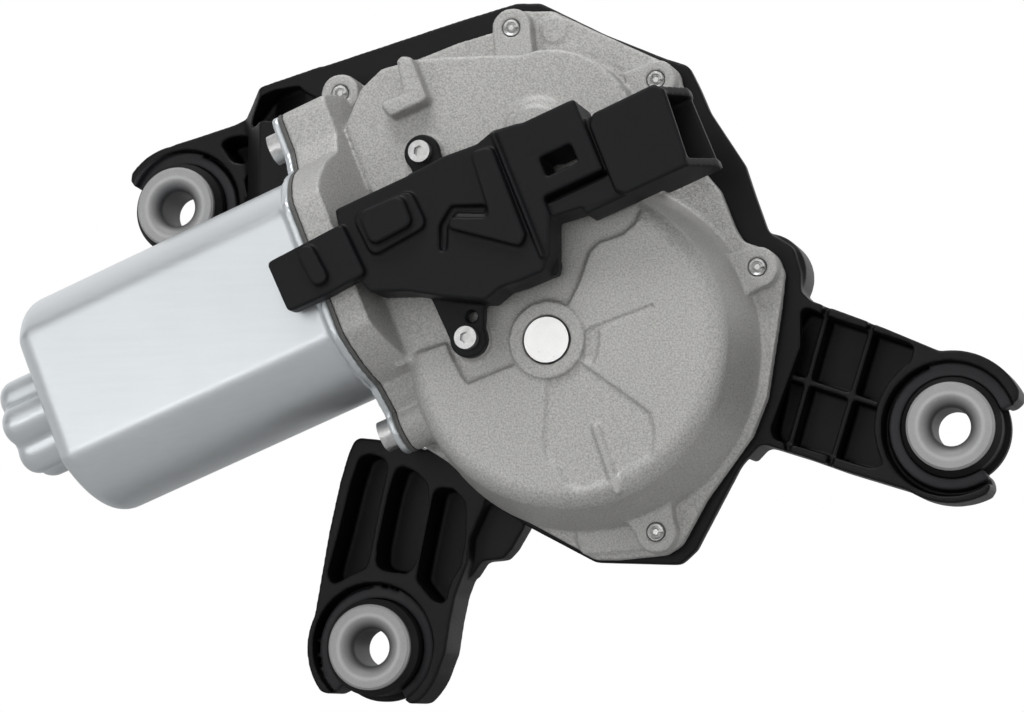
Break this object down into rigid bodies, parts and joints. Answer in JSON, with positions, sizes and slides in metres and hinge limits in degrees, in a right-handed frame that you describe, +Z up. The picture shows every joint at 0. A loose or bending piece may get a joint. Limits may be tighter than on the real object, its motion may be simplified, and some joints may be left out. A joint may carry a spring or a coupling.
{
  "type": "rear wiper motor",
  "caption": "Wiper motor with a steel motor can, a worm gear in a cast housing, a plug socket, an output spindle and a legged bracket whose bolt bushes sit in rubber.",
  "frame": {"origin": "on the output shaft's axis, in the joint between the gear housing and the bracket", "axes": "+Y along the output shaft towards its threaded tip, +Z up and +X right as the motor is seen from the housing side"},
  "size_m": [0.2326, 0.104, 0.16],
  "materials": {
    "steel_can": "zinc-plated drawn steel, satin",
    "cast_aluminium": "blasted die casting",
    "black_plastic": "glass-filled, matte",
    "connector_plastic": "moulded, fine satin",
    "rubber_black": "matte",
    "bush_aluminium": "blasted",
    "bright_steel": "bright",
    "ferrite": "fired, matte",
    "lamination_steel": "stacked sheet",
    "sinter_bronze": "sintered, oiled",
    "copper": "enamelled copper",
    "terminal_brass": "tinned",
    "carbon": "pressed carbon",
    "phenolic": "moulded",
    "nylon": "natural acetal",
    "board_green": "lacquered",
    "chip_black": "moulded"
  },
  "bodies": {
    "frame": {"motor_can": "steel_can", "magnets": "ferrite", "rear_bearing": "sinter_bronze", "bearing_retainer": "bright_steel", "brush_card": "phenolic", "brush_tubes": "terminal_brass", "brushes": "carbon", "brush_springs": "bright_steel", "chokes": "copper", "flange_gasket": "rubber_black", "gear_housing": "cast_aluminium", "front_bearing": "bright_steel", "worm_end_bush": "sinter_bronze", "thrust_screw": "nylon", "shaft_end_bush": "sinter_bronze", "mounting_bracket": "black_plastic", "cover_gasket": "rubber_black", "cover_screws": "bright_steel", "flange_screws": "bright_steel", "connector_housing": "connector_plastic", "connector_terminals": "terminal_brass", "connector_screws": "bright_steel", "control_board": "board_green", "board_parts": "chip_black", "spindle_bushes": "sinter_bronze", "shaft_seal": "rubber_black", "left_grommet": "rubber_black", "right_grommet": "rubber_black", "bottom_grommet": "rubber_black", "left_bush": "bush_aluminium", "right_bush": "bush_aluminium", "bottom_bush": "bush_aluminium"},
    "armature": {"armature_shaft": "bright_steel", "worm": "bright_steel", "armature_core": "lamination_steel", "windings": "copper", "commutator": "copper", "speed_magnet": "ferrite"},
    "output": {"worm_wheel": "nylon", "wheel_hub": "bright_steel", "output_shaft": "bright_steel", "retaining_ring": "bright_steel", "position_magnet": "ferrite"}
  },
  "joints": [
    {"name": "armature_spin", "type": "hinge", "parent": "frame", "child": "armature", "pos_m": [-0.01283, -0.012, 0.03176], "axis": [0.9272, 0, 0.3746], "range_deg": [0, 5169]},
    {"name": "output_turn", "type": "hinge", "parent": "frame", "child": "output", "pos_m": [0, 0, 0], "axis": [0, 1, 0], "range_deg": [-110, 0]}
  ],
  "couplings": [
    {"joint": "output_turn", "follows": "armature_spin", "ratio": -0.021277}
  ]
}
